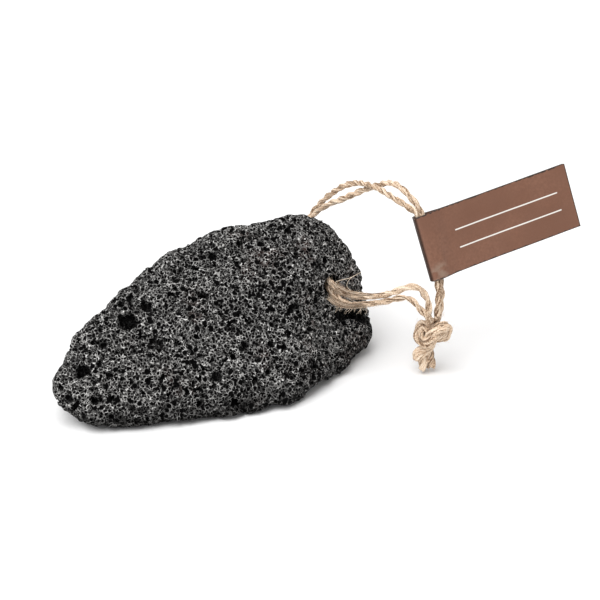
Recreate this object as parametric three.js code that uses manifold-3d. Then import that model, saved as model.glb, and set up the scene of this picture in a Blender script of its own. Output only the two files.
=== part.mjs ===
// A dark, frothy lava pumice stone, drilled near its blunt end for a loop of jute twine with a card tag on it.
// Millimetres, +Z up. The stone's long axis is X, its blunt end is at +X and it rests flat on Z = 0.

import * as THREE from 'three';
import { mergeVertices } from 'three/addons/utils/BufferGeometryUtils.js';
import { ImprovedNoise } from 'three/addons/math/ImprovedNoise.js';
import Module from 'manifold-3d';

const wasm = await Module();
wasm.setup();

// The stone's outline is drawn as an eye at the front left sees it, on a sheet through AIM facing that eye.
const EYE_TURN = -27;
const EYE_RISE = 25;
const EYE_DISTANCE = 425;
const AIM = new THREE.Vector3(22, -11, 27);

// Across and up on that sheet, clockwise from the narrow tip: top edge, blunt end, its notch and the foot.
const OUTLINE = [
  [-74, -25], [-73.5, -22], [-68.5, -17], [-67, -13], [-63, -7.5], [-59, -4.5], [-56, 0], [-51, 3],
  [-44.5, 9.5], [-38, 13], [-32, 17], [-25.5, 21], [-15.5, 23.5], [-4, 26], [0, 26.5], [4.5, 25],
  [7.5, 21.5], [12, 19.5], [17.5, 15.5], [21.5, 10.5], [22, 5.5], [23.5, -2.5], [23, -8.5], [21.5, -13],
  [17, -18], [16.5, -20.5], [12, -24], [6.5, -25], [1.5, -26], [1.5, -28], [-0.5, -31], [-3.5, -33],
  [-9, -34], [-23.5, -36.5], [-38.5, -38.5], [-49, -39.5], [-54, -38.5], [-62, -38], [-66, -37],
  [-66.5, -34.5], [-70.5, -34], [-73.5, -29],
].map(([across, up]) => new THREE.Vector2(across, up));

// Where the outline's edge lies behind the sheet, how the sides curve in before and behind that edge, and the
// room that the rounding of the edges takes up.
const EDGE_DEPTH = { middle: 12, across: 0.35, up: 0.45 };
const SIDE_REACH = 20;
const SIDE_CURVE = 4;
const OUTLINE_ROOM = 1.1;

// The broken faces: the way each one looks out, a point on it, and the rounding of the edges between them.
const FACES = [
  { out: [-0.12, -0.75, 0.65], at: [-18, -20.5, 8.5] },
  { out: [-0.15, -0.48, 0.86], at: [18, 15, 45.4] },
  { out: [0.44, -0.79, 0.43], at: [19, -17.5, 18] },
  { out: [-0.4, -0.85, 0.35], at: [-44, -11, 13] },
  { out: [0.06, 0.93, -0.35], at: [10, 22, 14] },
  { out: [0.05, 0.85, 0.52], at: [10, 24.5, 31] },
  { out: [-0.5, 0.8, 0.33], at: [-30, 15, 22] },
  { out: [0.88, 0.47, 0.03], at: [51.8, 8, 18] },
].map(({ out, at }) => ({ out: new THREE.Vector3(...out).normalize(), at: new THREE.Vector3(...at) }));
const EDGE_ROUNDING = 5;
const LUMPS = [{ size: 15, height: 1.6 }, { size: 6, height: 0.9 }];

const STONE_HEART = new THREE.Vector3(-2, 2, 17);
const STONE_SPREAD = new THREE.Vector3(52, 27, 21);
const STONE_DETAIL = 9;
const BEYOND_STONE = 120;
const FLAT_FOOT = 0.05;

// The large burst bubbles on the face that shows, on the outline's sheet: across, up, radius. The loose ones are
// on the sides that face away from the eye.
const FACE_PITS = [
  [-52.5, -6.5, 3.2], [-68, -24, 1.9], [-65, -21.5, 2], [-62, -30.5, 2], [-57, -35, 1.7], [-35, 12.5, 1.7],
  [1, 22, 1.8], [-28.5, 1.5, 1.9], [-41, -14, 1.8], [3.5, 3, 1.8], [-11.5, -2.5, 1.7], [-2.5, -3, 1.8],
  [-16, -13.5, 1.7], [-13, -24.5, 1.7], [-9, -21.5, 1.8], [13.5, -4.8, 2.8], [19, -6, 1.7], [12.5, -17, 1.9],
  [-30, -31, 1.7], [-45, -3.5, 1.5],
];
const LOOSE_PITS = 34;
const LOOSE_PIT_RADIUS = [1.4, 2.8];
const ROUND_PIT_RADIUS = 2;
const PIT_SINK = 0.2;
const PIT_SPACING = 1.25;
const PIT_SQUEEZE = { least: 0.85, spread: 0.3 };
const PIT_SEED = 27;
const FOOT_CLEARANCE = 1;

// The drilled hole for the twine, through the blunt end from front to back.
const HOLE_FRONT = new THREE.Vector3(34.8, -18, 25);
const HOLE_BACK = new THREE.Vector3(41.8, 36, 25.7);
const HOLE_RADIUS = 3.5;
const HOLE_SIDES = 14;

// The twine. Each strand leaves the knot, goes in at the front of the hole, comes round behind the stone,
// runs through the fold of the tag and ends in the knot.
const TWINE_RADIUS = 1.05;
const TWINE_SIDES = 8;
const TWINE_STEPS = 36;
const TWINE_UPPER = [
  [59.6, -23.9, 18.9], [59.8, -23.6, 21.2], [59.5, -23.2, 23.6], [58.6, -22.8, 25.9], [57, -22.3, 28],
  [54.8, -21.5, 28.9], [52.2, -20.5, 28.8], [48.5, -19, 28.1], [44.9, -17.5, 27.6], [41.2, -15.9, 26.9],
  [38.2, -13.1, 26.5], [36.7, -8.2, 26.4], [38.6, 8, 26.8], [40.8, 22, 27.1], [42.2, 27, 28.3],
  [44.6, 29.2, 32.1], [47.2, 27.6, 36.8], [49.4, 22.5, 41.4], [50.9, 16.8, 44.7], [52.9, 12, 47.9],
  [54.9, 7.5, 50.8], [56.1, 2.7, 53.3], [56.6, -2.2, 55.7], [56.9, -6.9, 56.6], [57.9, -10.8, 55.9],
  [59.6, -13.1, 53.9], [61.2, -14.8, 51.4], [62.05, -15.85, 49.2], [62.9, -17.5, 44.4], [64.5, -20.7, 35.1],
  [65.7, -23.1, 28.1], [65.3, -23.5, 25.2], [64.5, -23.4, 22], [63.9, -23.4, 18.9],
];
const TWINE_LOWER = [
  [58.8, -26.4, 18.6], [57.5, -25.2, 20.5], [55.9, -24, 22.6], [54.4, -23, 24.7], [52.9, -22, 25.6],
  [50.9, -21, 25.6], [48, -20, 24.9], [44.4, -18.6, 24.3], [40.8, -17, 24.1], [37.8, -14, 23.8],
  [36.4, -8.8, 23.8], [38.5, 8, 24.4], [40.9, 23.5, 24.6], [42.6, 30, 26.2], [45.4, 32.4, 30.6],
  [48.4, 31, 36.2], [50.8, 27.2, 41.6], [52.1, 21.9, 46.1], [53.1, 17.7, 49], [53.7, 11.6, 51.6],
  [53.5, 5.8, 53.1], [53.8, 0.5, 53.8], [54.1, -4.2, 53.9], [54.5, -8.1, 53.6], [55.4, -11.2, 53],
  [57.1, -13.4, 52.1], [59, -14.9, 50.6], [59.85, -15.8, 48.2], [60.5, -17.3, 44], [62.1, -20.5, 34.7],
  [63.3, -22.9, 27.7], [62.8, -24.1, 25], [62.2, -24.7, 22], [61.9, -24.9, 18.9],
];

// The overhand knot, in its own frame: X across the eye's view, Y away from it. A bundle of strands makes one
// turn round itself and is tucked through, and its cut tails stand on the floor.
const KNOT_CENTRE = new THREE.Vector3(60.5, -24.6, 12.5);
const BUNDLE_RADIUS = 1.9;
const KNOT_HEART_RADIUS = 2.6;
const KNOT_TURN = [
  [[0.6, 0.3, 5.7], [0.4, 1.4, 3.2], [0.5, 2.1, 0.4], [2.3, 1.6, -1.4]],
  [[2.3, 1.6, -1.4], [3.6, -0.1, 0.5], [2.7, -2, 2.7], [0.3, -2.7, 0.8], [-2, -1.9, -1.6]],
  [
    [-2, -1.9, -1.6], [-3.5, 0.2, 0.2], [-2.4, 0.8, 2.9],
    [-0.5, -0.3, 2.1], [-0.4, -0.4, -0.9], [-1, -0.5, -4.2],
  ],
];
const TAIL_RADIUS = 1.1;
const KNOT_TAILS = [
  [[-1.5, -0.6, -3.2], [-2.9, -1, -4.5], [-4.4, -1.5, -5.3], [-5.1, -1.7, -6.5]],
  [[-1.4, -0.5, -3.4], [-2.1, -0.7, -7], [-1.9, -0.9, -12.2]],
  [[-0.3, 0, -3.4], [0, 0, -7], [0.1, -0.2, -11.8]],
];

// The tag: a strip of card folded round the twine, its two leaves closed on each other.
const TAG_LENGTH = 53;
const TAG_WIDTH = 20.5;
const CARD = 0.4;
const FOLD_EYE = { centre: 3.05, half: 2.65, depth: 1.6 };
const FOLD_SHOULDER = 0.72;
const FOLD_CLOSES = 9;
const FOLD_SEGMENTS = 6;
const TAG_FOLD = new THREE.Vector3(59.6, -18.8, 39);
const TAG_LEAN = -18;
const TAG_RISE = -11;
const TAG_YAW = -4;

const COLOURS = { stone: 0x3d3c3e, twine: 0xcfae84, card: 0x7a5340 };

const SAME_POINT = 1e-4;

const noise = new ImprovedNoise();

function randomStream(seed) {
  let state = seed;
  return () => {
    state = (Math.imul(state, 1664525) + 1013904223) >>> 0;
    return state / 4294967296;
  };
}

function eyeFrame() {
  const turn = THREE.MathUtils.degToRad(EYE_TURN);
  const rise = THREE.MathUtils.degToRad(EYE_RISE);
  const back = new THREE.Vector3(
    Math.sin(turn) * Math.cos(rise),
    -Math.cos(turn) * Math.cos(rise),
    Math.sin(rise),
  );
  const right = new THREE.Vector3(Math.cos(turn), Math.sin(turn), 0);
  const up = new THREE.Vector3().crossVectors(back, right);
  const place = AIM.clone().addScaledVector(back, EYE_DISTANCE);
  return { right, up, back, place };
}

const eye = eyeFrame();

// The way from the eye to a point of the outline's sheet, one sheet distance long.
function sightLine(across, up) {
  return new THREE.Vector3()
    .addScaledVector(eye.right, across)
    .addScaledVector(eye.up, up)
    .addScaledVector(eye.back, -EYE_DISTANCE);
}

// How far a point of the sheet lies inside the outline, negative outside it.
function depthInOutline(point) {
  let nearest = Infinity;
  let inside = false;
  const along = new THREE.Vector2();
  const reach = new THREE.Vector2();
  OUTLINE.forEach((start, index) => {
    const end = OUTLINE[(index + 1) % OUTLINE.length];
    along.subVectors(end, start);
    reach.subVectors(point, start);
    const share = THREE.MathUtils.clamp(reach.dot(along) / along.lengthSq(), 0, 1);
    nearest = Math.min(nearest, reach.addScaledVector(along, -share).length());
    const crosses = (start.y > point.y) !== (end.y > point.y);
    if (crosses && point.x < start.x + (along.x * (point.y - start.y)) / along.y) {
      inside = !inside;
    }
  });
  return inside ? nearest : -nearest;
}

function smoothMax(a, b) {
  const overlap = Math.max(EDGE_ROUNDING - Math.abs(a - b), 0);
  return Math.max(a, b) + (overlap * overlap) / (4 * EDGE_ROUNDING);
}

// Below zero inside the stone and above zero outside it.
function stoneField(point) {
  const seen = point.clone().sub(eye.place);
  const distance = -seen.dot(eye.back);
  const scale = EYE_DISTANCE / distance;
  const onSheet = new THREE.Vector2(seen.dot(eye.right) * scale, seen.dot(eye.up) * scale);
  const edge = EDGE_DEPTH.middle + EDGE_DEPTH.across * onSheet.x + EDGE_DEPTH.up * onSheet.y;
  const away = (distance - EYE_DISTANCE - edge) / SIDE_REACH;
  let field = SIDE_CURVE * away * away - depthInOutline(onSheet) - OUTLINE_ROOM;
  for (const face of FACES) {
    field = smoothMax(field, point.clone().sub(face.at).dot(face.out));
  }
  for (const { size, height } of LUMPS) {
    field += height * noise.noise(point.x / size, point.y / size, point.z / size);
  }
  return smoothMax(field, -point.z);
}

// The place between an inside and an outside point where the stone's surface lies.
function surfaceBetween(inside, outside) {
  const low = inside.clone();
  const high = outside.clone();
  for (let halving = 0; halving < 30; halving += 1) {
    const middle = low.clone().lerp(high, 0.5);
    if (stoneField(middle) < 0) {
      low.copy(middle);
    } else {
      high.copy(middle);
    }
  }
  return low;
}

function surfaceFromHeart(direction) {
  const outside = STONE_HEART.clone().addScaledVector(direction.clone().normalize(), BEYOND_STONE);
  return surfaceBetween(STONE_HEART, outside);
}

function surfaceFromEye(across, up) {
  const sight = sightLine(across, up).normalize();
  const step = 1;
  let before = eye.place.clone().addScaledVector(sight, EYE_DISTANCE - BEYOND_STONE);
  for (let walked = 0; walked < 2 * BEYOND_STONE; walked += step) {
    const after = before.clone().addScaledVector(sight, step);
    if (stoneField(after) < 0) {
      return surfaceBetween(after, before);
    }
    before = after;
  }
  throw new Error(`no stone is seen at ${across}, ${up}`);
}

function solidOf(geometry) {
  const bare = geometry.clone();
  bare.deleteAttribute('normal');
  bare.deleteAttribute('uv');
  const merged = mergeVertices(bare, SAME_POINT);
  return new wasm.Manifold(new wasm.Mesh({
    numProp: 3,
    vertProperties: new Float32Array(merged.attributes.position.array),
    triVerts: new Uint32Array(merged.index.array),
  }));
}

function geometryOf(solid) {
  const { vertProperties, triVerts } = solid.getMesh();
  const geometry = new THREE.BufferGeometry();
  geometry.setAttribute('position', new THREE.BufferAttribute(vertProperties, 3));
  geometry.setIndex(new THREE.BufferAttribute(triVerts, 1));
  geometry.computeVertexNormals();
  return geometry;
}

function lumpSolid() {
  const geometry = new THREE.IcosahedronGeometry(1, STONE_DETAIL);
  const position = geometry.attributes.position;
  const vertex = new THREE.Vector3();
  for (let index = 0; index < position.count; index += 1) {
    vertex.fromBufferAttribute(position, index).multiply(STONE_SPREAD);
    const surface = surfaceFromHeart(vertex);
    position.setXYZ(index, surface.x, surface.y, surface.z < FLAT_FOOT ? 0 : surface.z);
  }
  return solidOf(geometry);
}

// A burst bubble: a ball a little squeezed and turned, sunk so that its mouth is near its widest.
function pitSolid({ place, radius }, random) {
  const geometry = radius < ROUND_PIT_RADIUS
    ? new THREE.DodecahedronGeometry(radius)
    : new THREE.IcosahedronGeometry(radius, 1);
  const squeeze = () => PIT_SQUEEZE.least + PIT_SQUEEZE.spread * random();
  geometry.scale(squeeze(), squeeze(), squeeze());
  geometry.rotateX(random() * Math.PI);
  geometry.rotateZ(random() * Math.PI);
  const sunk = place.clone().lerp(STONE_HEART, (PIT_SINK * radius) / place.distanceTo(STONE_HEART));
  geometry.translate(sunk.x, sunk.y, sunk.z);
  return solidOf(geometry);
}

function pitPlaces(random) {
  const pits = FACE_PITS.map(([across, up, radius]) => ({ place: surfaceFromEye(across, up), radius }));
  const [smallest, largest] = LOOSE_PIT_RADIUS;
  const holeLine = new THREE.Line3(HOLE_FRONT, HOLE_BACK);
  const onHole = new THREE.Vector3();
  while (pits.length < FACE_PITS.length + LOOSE_PITS) {
    const toward = new THREE.Vector3(random() - 0.5, random() - 0.5, random() - 0.5).multiply(STONE_SPREAD);
    const radius = smallest + (largest - smallest) * random() ** 2;
    const place = surfaceFromHeart(toward);
    const clearOfFoot = place.z > radius + FOOT_CLEARANCE;
    const clearOfPits = pits.every(
      (pit) => pit.place.distanceTo(place) > PIT_SPACING * (pit.radius + radius),
    );
    holeLine.closestPointToPoint(place, true, onHole);
    const clearOfHole = onHole.distanceTo(place) > HOLE_RADIUS + radius;
    const outward = place.clone().sub(STONE_HEART).divide(STONE_SPREAD).divide(STONE_SPREAD);
    const facesAway = outward.dot(eye.back) < 0;
    if (clearOfFoot && clearOfPits && clearOfHole && facesAway) {
      pits.push({ place, radius });
    }
  }
  return pits;
}

function holeSolid() {
  const along = new THREE.Vector3().subVectors(HOLE_BACK, HOLE_FRONT);
  const geometry = new THREE.CylinderGeometry(HOLE_RADIUS, HOLE_RADIUS, along.length(), HOLE_SIDES);
  const cylinderAxis = new THREE.Vector3(0, 1, 0);
  const turn = new THREE.Quaternion().setFromUnitVectors(cylinderAxis, along.clone().normalize());
  geometry.applyQuaternion(turn);
  const middle = HOLE_FRONT.clone().lerp(HOLE_BACK, 0.5);
  geometry.translate(middle.x, middle.y, middle.z);
  return solidOf(geometry);
}

function stoneGeometry() {
  const random = randomStream(PIT_SEED);
  let stone = lumpSolid();
  for (const pit of pitPlaces(random)) {
    stone = stone.subtract(pitSolid(pit, random));
  }
  return geometryOf(stone.subtract(holeSolid()));
}

// A solid tube of even thickness along a smooth curve through the given points.
function tubeGeometry(points, radius, steps) {
  const section = new THREE.Shape();
  section.absarc(0, 0, radius, 0, Math.PI * 2);
  const corners = points.map((point) => new THREE.Vector3(...point));
  const extrudePath = new THREE.CatmullRomCurve3(corners, false, 'centripetal');
  return new THREE.ExtrudeGeometry(section, { steps, curveSegments: TWINE_SIDES / 2, extrudePath });
}

function knotGeometry() {
  const stretches = [
    ...KNOT_TURN.map((points) => tubeGeometry(points, BUNDLE_RADIUS, 2 * points.length)),
    ...KNOT_TAILS.map((points) => tubeGeometry(points, TAIL_RADIUS, points.length)),
  ];
  const joins = KNOT_TURN.slice(1).map(([start]) => {
    const ball = new THREE.IcosahedronGeometry(BUNDLE_RADIUS, 1);
    return ball.translate(...start);
  });
  const heart = new THREE.IcosahedronGeometry(KNOT_HEART_RADIUS, 1);
  const solids = [...stretches, ...joins, heart].map(solidOf);
  return geometryOf(solids.reduce((knot, piece) => knot.add(piece)));
}

// The tag's section across the fold: an eye round the twine that narrows to two closed leaves.
function tagGeometry() {
  const { centre, half, depth } = FOLD_EYE;
  const outline = new THREE.Shape();
  outline.moveTo(TAG_LENGTH, CARD);
  outline.lineTo(FOLD_CLOSES, CARD);
  outline.splineThru([
    new THREE.Vector2(centre + half, depth * FOLD_SHOULDER + CARD),
    new THREE.Vector2(centre, depth + CARD),
  ]);
  outline.absellipse(centre, 0, centre, depth + CARD, Math.PI / 2, Math.PI * 1.5, false);
  outline.splineThru([
    new THREE.Vector2(centre + half, -depth * FOLD_SHOULDER - CARD),
    new THREE.Vector2(FOLD_CLOSES, -CARD),
  ]);
  outline.lineTo(TAG_LENGTH, -CARD);
  outline.closePath();
  const opening = new THREE.Path();
  opening.absellipse(centre, 0, half, depth, 0, Math.PI * 2, true);
  outline.holes.push(opening);
  const geometry = new THREE.ExtrudeGeometry(outline, {
    depth: TAG_WIDTH,
    curveSegments: FOLD_SEGMENTS,
    bevelEnabled: false,
  });
  return geometry.translate(0, 0, -TAG_WIDTH / 2);
}

function namedMesh(name, geometry, colour, roughness) {
  const material = new THREE.MeshStandardMaterial({ color: colour, roughness, metalness: 0 });
  const mesh = new THREE.Mesh(geometry, material);
  mesh.name = name;
  return mesh;
}

function knotMesh() {
  const knot = namedMesh('knot', knotGeometry(), COLOURS.twine, 0.9);
  knot.position.copy(KNOT_CENTRE);
  knot.rotation.z = THREE.MathUtils.degToRad(EYE_TURN);
  return knot;
}

function tagMesh() {
  const tag = namedMesh('tag', tagGeometry(), COLOURS.card, 0.6);
  tag.position.copy(TAG_FOLD);
  const [lean, rise, yaw] = [TAG_LEAN, TAG_RISE, TAG_YAW].map(THREE.MathUtils.degToRad);
  tag.rotation.set(lean, rise, yaw, 'ZYX');
  return tag;
}

const pumice = new THREE.Group();
pumice.name = 'pumice_stone_on_twine';
pumice.add(
  namedMesh('stone', stoneGeometry(), COLOURS.stone, 0.95),
  namedMesh('twine_upper', tubeGeometry(TWINE_UPPER, TWINE_RADIUS, TWINE_STEPS), COLOURS.twine, 0.9),
  namedMesh('twine_lower', tubeGeometry(TWINE_LOWER, TWINE_RADIUS, TWINE_STEPS), COLOURS.twine, 0.9),
  knotMesh(),
  tagMesh(),
);

export default pumice;
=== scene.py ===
import math

import bpy
import numpy as np
import openvdb
from bpy.props import FloatProperty, FloatVectorProperty, IntProperty, PointerProperty
from mathutils import Euler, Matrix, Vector


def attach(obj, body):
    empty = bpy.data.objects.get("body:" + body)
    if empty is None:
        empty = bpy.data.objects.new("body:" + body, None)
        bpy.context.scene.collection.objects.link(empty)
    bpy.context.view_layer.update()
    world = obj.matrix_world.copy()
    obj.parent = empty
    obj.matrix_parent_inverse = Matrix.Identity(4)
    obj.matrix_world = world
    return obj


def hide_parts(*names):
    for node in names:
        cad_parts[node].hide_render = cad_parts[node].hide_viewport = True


bl_info = {
    "name": "Lava pumice stone",
    "version": (1, 0, 0),
    "blender": (4, 5, 0),
    "location": "3D View > Sidebar > Pumice",
    "description": "A drilled lump of frothy lava on a knotted loop of jute twine, with a folded card tag",
    "category": "Object",
}

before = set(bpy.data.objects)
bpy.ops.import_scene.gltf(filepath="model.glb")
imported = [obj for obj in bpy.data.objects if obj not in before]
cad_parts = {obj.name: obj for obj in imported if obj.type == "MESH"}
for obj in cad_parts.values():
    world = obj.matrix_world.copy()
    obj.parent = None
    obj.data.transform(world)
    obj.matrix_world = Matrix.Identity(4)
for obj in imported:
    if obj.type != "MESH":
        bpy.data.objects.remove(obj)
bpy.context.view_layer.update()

MM = 0.001

# Both strands start in the knot, go through the stone, come round behind it and over the top,
# run down through the fold of the tag and end in the knot.
UPPER_ROUTE = MM * np.array([
    (59.6, -23.9, 18.9), (59.8, -23.6, 21.2), (59.5, -23.2, 23.6), (58.6, -22.8, 25.9), (57, -22.3, 28),
    (54.8, -21.5, 28.8), (52.2, -20.5, 28.3), (48.5, -19, 26.9), (44.9, -17.6, 26.2), (41.2, -15.9, 26.2),
    (38.2, -13.1, 26.2), (36.7, -8.2, 26.2), (38.6, 8, 26.8), (40.8, 22, 27.1), (42.2, 27, 28.3),
    (44.6, 29.2, 32.1), (47.2, 27.6, 36.8), (49.4, 22.5, 41.4), (50.9, 16.8, 44.7), (52.9, 12, 47.9),
    (54.9, 7.5, 50.8), (56.1, 2.7, 53.3), (56.6, -2.2, 55.7), (56.8, -6.7, 56.6), (57.5, -10.4, 55.9),
    (58.9, -12.6, 53.8), (60.3, -13.9, 51.5), (61.2, -14.9, 49), (62, -16.6, 44), (63.6, -19.6, 35.1),
    (64.5, -21.6, 29.4), (64.6, -22.4, 26), (64.3, -23, 22.4), (63.9, -23.4, 18.9),
])
LOWER_ROUTE = MM * np.array([
    (58.8, -26.4, 18.6), (57.5, -25.2, 20.5), (55.9, -24, 22.6), (54.4, -23, 24.7), (52.9, -22, 25.6),
    (50.9, -21, 25.7), (48, -20, 25.1), (44.4, -18.6, 24.5), (40.8, -17, 24.1), (37.8, -14, 23.8),
    (36.4, -8.8, 23.8), (38.5, 8, 24.4), (40.9, 23.5, 24.6), (42.6, 30, 26.2), (45.4, 32.4, 30.6),
    (48.4, 31, 36.2), (50.8, 27.2, 41.6), (52.1, 21.9, 46.1), (53.1, 17.7, 49), (53.7, 11.6, 51.6),
    (53.5, 5.8, 53.1), (53.8, 0.5, 53.8), (54.1, -4.2, 53.9), (54.5, -8.1, 53.6), (55.4, -11.4, 52.9),
    (56.9, -13.7, 51.8), (58.6, -15.1, 50.4), (59.7, -16.2, 48.4), (60.5, -17.7, 44.1), (62, -20.7, 35.2),
    (63, -22.7, 29.5), (62.9, -24, 25.6), (62.3, -24.7, 22), (61.9, -24.9, 18.9),
])

# The knot, about its own middle and turned to face the front of the stone: the turn that the four strands
# take together, and the tail that each one ends in.
KNOT_MIDDLE = MM * np.array((60.5, -24.6, 12.5))
KNOT_TURNED = math.radians(-27)
KNOT_TURN = MM * np.array([
    (0.6, 0.3, 5.7), (0.4, 1.4, 3.2), (0.5, 2.1, 0.4), (2.6, 1.6, -1.7), (4, 0.3, 0.8), (3.3, -1.6, 3.7),
    (1, -2.7, 2), (-2, -1.9, -1.6), (-3.5, 0.2, 0.2), (-2.4, 0.8, 2.9), (-0.5, -0.3, 2.1), (-0.4, -0.4, -0.9),
    (-1, -0.5, -4.2),
])
KNOT_TAILS = [
    MM * np.array([(-1.7, -0.7, -4.4), (-3.2, -1, -4.9), (-4.3, -1.4, -5.8), (-4.6, -1.7, -7.3)]),
    MM * np.array([(-1.8, -0.8, -5.6), (-2.4, -0.9, -8.2), (-2.4, -1, -11)]),
    MM * np.array([(-0.3, 0, -5.6), (-0.1, 0, -8), (0, -0.2, -10.9)]),
    MM * np.array([(-1, 0.6, -5.6), (-1.2, 0.5, -8), (-1.1, 0.2, -10.6)]),
]
# Which corner of the bundle each strand keeps to.
KNOT_CORNERS = [(-1, 1), (-1, -1), (1, 1), (1, -1)]

# The mouth of the drilled hole, where each strand comes loose before it, from the last sound twine to inside
# the stone, and the fibres that have sprung away.
HOLE_MOUTH = MM * np.array((38.5, -13.5, 25.2))
LOOSENED = [
    np.vstack([UPPER_ROUTE[6:12], MM * np.array([(37.2, -3, 26)])]),
    np.vstack([LOWER_ROUTE[5:9], MM * np.array([(37, -15, 23.7), (34.9, -12, 23.6), (34.4, -6, 24)])]),
]
SPRUNG_FIBRES = [
    MM * np.array([(36.4, -7, 27.6), (34.8, -10, 30), (36, -11.6, 31), (38.4, -12.2, 31.4), (41, -12.3, 32.2),
                   (43.4, -12.4, 32.9)]),
    MM * np.array([(38, -13.4, 27.6), (36.9, -13, 29.4), (37.4, -12.9, 30.8), (38.7, -12.7, 31.7),
                   (40, -12.6, 32.3)]),
    MM * np.array([(36.4, -9, 27.4), (34.4, -10.6, 28.6), (33.9, -11.4, 29.8), (34.2, -11.8, 30.8)]),
]

# Long hollows in the stone, from end to end, with their radius, in millimetres: the recess below the twine,
# the worn lip of the hole, the cleft beside it, two for the undercut along the foot, the notch at its right
# end and two for the shallow side below the hole. Then the rounding of their edges.
DENTS = [
    ((38, -8, 17.2), (49.4, -3.4, 12.2), 1.75),
    ((33.6, -11.2, 23.4), (36.4, -12.6, 22.8), 1.9),
    ((27.6, -7.2, 29.2), (27.3, -9.2, 25.6), 1.0),
    ((-28, -24.4, 5.6), (-12, -27.6, 5.8), 5.0),
    ((-12, -27.6, 5.8), (9, -28.8, 6.8), 5.0),
    ((20.6, -21.6, 1.4), (27, -17.6, 0.4), 2.6),
    ((31.8, -12.2, 24), (31.8, -18.4, 13.5), 6.0),
    ((31.8, -18.4, 13.5), (33.2, -21, 6), 6.0),
]
DENT_ROUNDING = 0.8

# The stone's skin, in millimetres: how far its rounded solid is let out, the half width of the widest pit that
# counts as a hollow, the lumps as their size and share of the full height, the height of the foot that has no
# bubbles, and the height and size of the roughness inside the bubbles.
SKIN_LET_OUT = 0.25
PIT_REACH = 2.1
LUMPS = ((5, 1.0), (1.8, 0.9))
PLAIN_FOOT = 1.4
BUBBLE_ROUGHNESS = 0.14
BUBBLE_ROUGH_SIZE = 0.9

# The walls and pores of the froth that are too fine for the mesh, in cells to a metre.
FROTH_CELLS = 1020.0
PORE_CELLS = 500.0

# The twine in shares of its diameter: how far each ply lies from the middle, the ring of rovings in a ply and
# the radius of a roving. Then the share that is lost in the mouth of the hole, and how far that loss reaches.
PLY_OFFSET = 0.2
ROVING_RING = 0.19
ROVING_RADIUS = 0.128
LOSS_IN_MOUTH = 0.5
LOSS_REACH = 5.5 * MM
# The knot: how far its strands lie from the bundle's middle in shares of their diameter, the length in which
# they come together, how much its tails spread at their cut ends, and over what length.
KNOT_SQUEEZE = 0.43
KNOT_GATHERS = 4 * MM
TAIL_FLARE = 0.55
TAIL_FLARE_REACH = 4.5 * MM
# The shortest and longest reach of a loose hair, how far it may stand off, and how far it may curl.
HAIR_REACH = (0.4 * MM, 2.8 * MM)
HAIR_STANDS = 1.1 * MM
HAIR_CURL = 0.6 * MM

TAG_FOLD = MM * Vector((59.6, -18.8, 39))
# The eye that the fold makes round the twine: its middle, how deep it is behind and before, where it starts
# to narrow and where the two leaves meet. Then the room along the tag, through it and along the fold that
# hairs keep out of.
EYE_MIDDLE = 1.75 * MM
EYE_DEPTHS = (1.95 * MM, 1.4 * MM)
EYE_NARROWS = 4.3 * MM
EYE_CLOSES = 9.5 * MM
NO_HAIRS_WITHIN = (7 * MM, 3 * MM, 12 * MM)

FLOOR_HALF = 6


def length_value(name, description, default):
    return FloatProperty(name=name, description=description, default=default, unit="LENGTH", precision=5)


def colour_value(name, description, default):
    return FloatVectorProperty(
        name=name, description=description, default=default, subtype="COLOR", min=0, max=1,
    )


def count_value(name, description, default, least=0):
    return IntProperty(name=name, description=description, default=default, min=least)


def angle_value(name, description, degrees):
    return FloatProperty(name=name, description=description, default=math.radians(degrees), subtype="ANGLE")


class LavaSettings(bpy.types.PropertyGroup):
    """The stone."""

    grain: length_value("Grain", "Smallest step of the stone's surface", 0.0003)
    vents: count_value("Vents", "Large bubbles tried in the stone's skin", 400)
    vent: length_value("Vent", "Usual radius of a large bubble", 0.0008)
    bubbles: count_value("Bubbles", "Small bubbles tried in the stone's skin", 4200)
    bubble: length_value("Bubble", "Usual radius of a small bubble", 0.00056)
    lump: length_value("Lumps", "Height of the lumps between the bubbles", 0.0006)
    triangles: count_value("Triangles", "Most triangles in the stone", 196000, 1000)
    seed: count_value("Seed", "Where the bubbles fall", 11)
    body: colour_value("Body", "Fresh lava", (0.028, 0.0272, 0.0264))
    # Rims: painted highlight on the thin walls and rims of the froth.
    rim_highlight: colour_value("Rims", "Worn edges of the bubbles", (0.42, 0.412, 0.40))
    # Glints: painted highlights on the broken edges.
    glint: colour_value("Glints", "Broken edges that catch the light", (0.85, 0.84, 0.82))
    # Hollows: painted shade, the near black given to the fine pores, the deep hollows and the foot.
    hollow_shade: colour_value("Hollows", "Inside of the bubbles", (0.0010, 0.0009, 0.0009))
    rust: colour_value("Rust", "Patches that have weathered brown", (0.060, 0.038, 0.033))


class JuteSettings(bpy.types.PropertyGroup):
    """The twine, its knot and its loose fibres."""

    diameter: length_value("Diameter", "Thickness of the twine", 0.0021)
    knot_diameter: length_value("Knotted diameter", "Thickness of the twine squeezed in the knot", 0.0021)
    lay: length_value("Lay", "Length in which the two plies go once round each other", 0.0084)
    step: length_value("Step", "Length of one step along a strand", 0.00042)
    rovings: count_value("Rovings", "Bundles of fibre in a ply", 7, 3)
    hairs: count_value("Hairs", "Loose fibres on each centimetre of twine", 42)
    hair: length_value("Hair", "Thickness of one loose fibre", 0.00007)
    frayed: count_value("Frayed", "Fibres in the mouth of the hole", 260)
    seed: count_value("Seed", "How the fibres lie", 5)
    # Shade: the darkest fibres, also used as painted shade for the gaps in the frayed tuft.
    darkest_fibre_and_shade: colour_value("Shade", "Darkest fibres", (0.17, 0.095, 0.05))
    straw: colour_value("Straw", "Most fibres", (0.65, 0.475, 0.33))
    pale: colour_value("Pale", "Bleached fibres", (0.89, 0.745, 0.59))


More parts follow.
